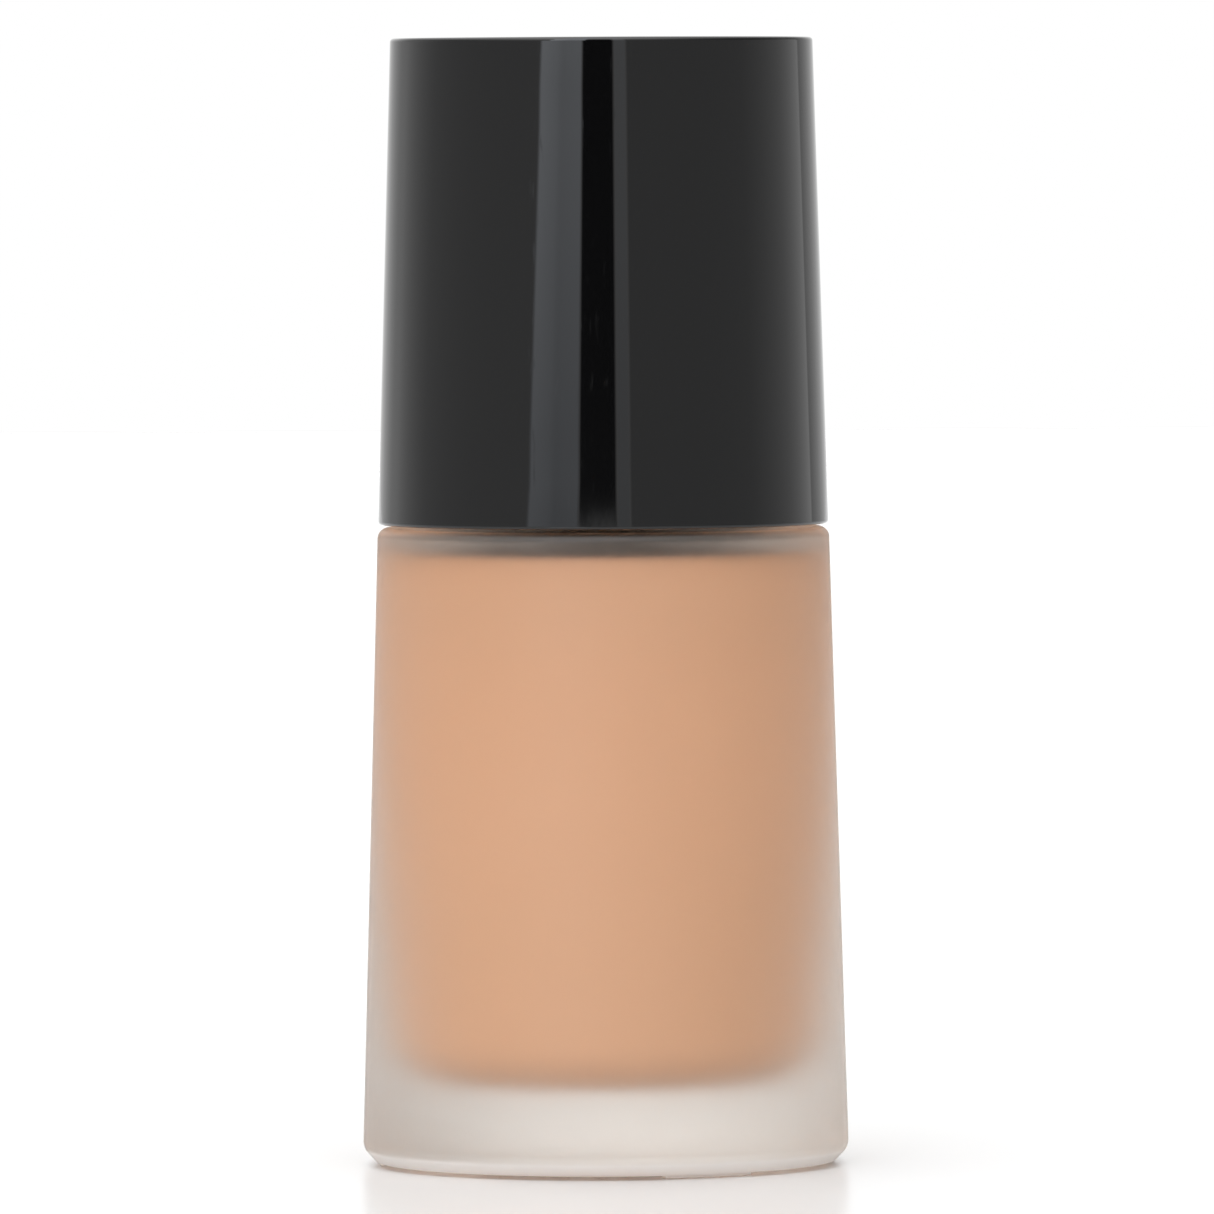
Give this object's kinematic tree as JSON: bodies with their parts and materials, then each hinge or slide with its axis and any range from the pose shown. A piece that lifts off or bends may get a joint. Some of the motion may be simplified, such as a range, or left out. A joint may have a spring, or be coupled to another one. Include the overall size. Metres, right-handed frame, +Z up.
{
  "type": "foundation bottle",
  "caption": "Round, slightly conical frosted glass bottle of liquid foundation with a screw-on treatment pump under a tall gloss black overcap.",
  "frame": {"origin": "middle of the base, on the plane that the bottle stands on", "axes": "+Z up along the bottle's axis; -Y is the front, where the nozzle points at rest; +X is to the right seen from the front"},
  "size_m": [0.0454, 0.0454, 0.105],
  "materials": {
    "frosted_glass": "acid-frosted outer face, clear inner face",
    "foundation": "opaque skin-tone liquid",
    "black_gloss": "high-gloss moulded black plastic",
    "black_satin": "satin moulded black plastic",
    "white_plastic": "moulded white polypropylene",
    "natural_plastic": "natural, slightly translucent polyethylene",
    "gasket": "soft white sealing washer",
    "steel": "bright stainless steel",
    "label": "blank clear film"
  },
  "bodies": {
    "bottle": {"glass_bottle": "frosted_glass", "foundation_fill": "foundation", "base_label": "label"},
    "pump": {"pump_housing": "natural_plastic", "neck_gasket": "gasket", "housing_cap": "white_plastic", "dip_tube": "natural_plastic", "return_spring": "steel"},
    "inlet_valve": {"inlet_ball": "steel"},
    "stem": {"pump_stem": "white_plastic", "stem_plug": "white_plastic"},
    "outlet_valve": {"outlet_ball": "steel"},
    "piston": {"pump_piston": "natural_plastic"},
    "head": {"actuator_button": "black_gloss", "actuator_core": "black_gloss", "nozzle_insert": "black_satin"},
    "closure": {"screw_closure": "black_satin", "collar": "black_gloss"},
    "overcap": {"overcap_shell": "black_gloss", "overcap_liner": "black_satin"}
  },
  "joints": [
    {"name": "pump_lift", "type": "slide", "parent": "bottle", "child": "pump", "axis": [0, 0, 1], "range_m": [0, 0.00476]},
    {"name": "closure_turn", "type": "hinge", "parent": "pump", "child": "closure", "pos_m": [0, 0, 0.068], "axis": [0, 0, 1], "range_deg": [0, 540]},
    {"name": "overcap_lift", "type": "slide", "parent": "closure", "child": "overcap", "axis": [0, 0, 1], "range_m": [0, 0.04]},
    {"name": "pump_press", "type": "slide", "parent": "pump", "child": "stem", "axis": [0, 0, -1], "range_m": [0, 0.0045], "stiffness_N_per_m": 800, "springref_m": -0.0005, "deforming": ["return_spring"]},
    {"name": "piston_slide", "type": "slide", "parent": "pump", "child": "piston", "axis": [0, 0, -1], "range_m": [0, 0.00392]},
    {"name": "nozzle_turn", "type": "hinge", "parent": "stem", "child": "head", "pos_m": [0, 0, 0.085], "axis": [0, 0, 1], "continuous": true},
    {"name": "inlet_ball_lift", "type": "slide", "parent": "pump", "child": "inlet_valve", "axis": [0, 0, 1], "range_m": [0, 0.0008]},
    {"name": "outlet_ball_lift", "type": "slide", "parent": "stem", "child": "outlet_valve", "axis": [0, 0, 1], "range_m": [0, 0.0006]}
  ],
  "couplings": [
    {"joint": "closure_turn", "follows": "pump_lift", "rad_per_m": 1979},
    {"joint": "piston_slide", "follows": "pump_press", "ratio": 0.86667}
  ]
}
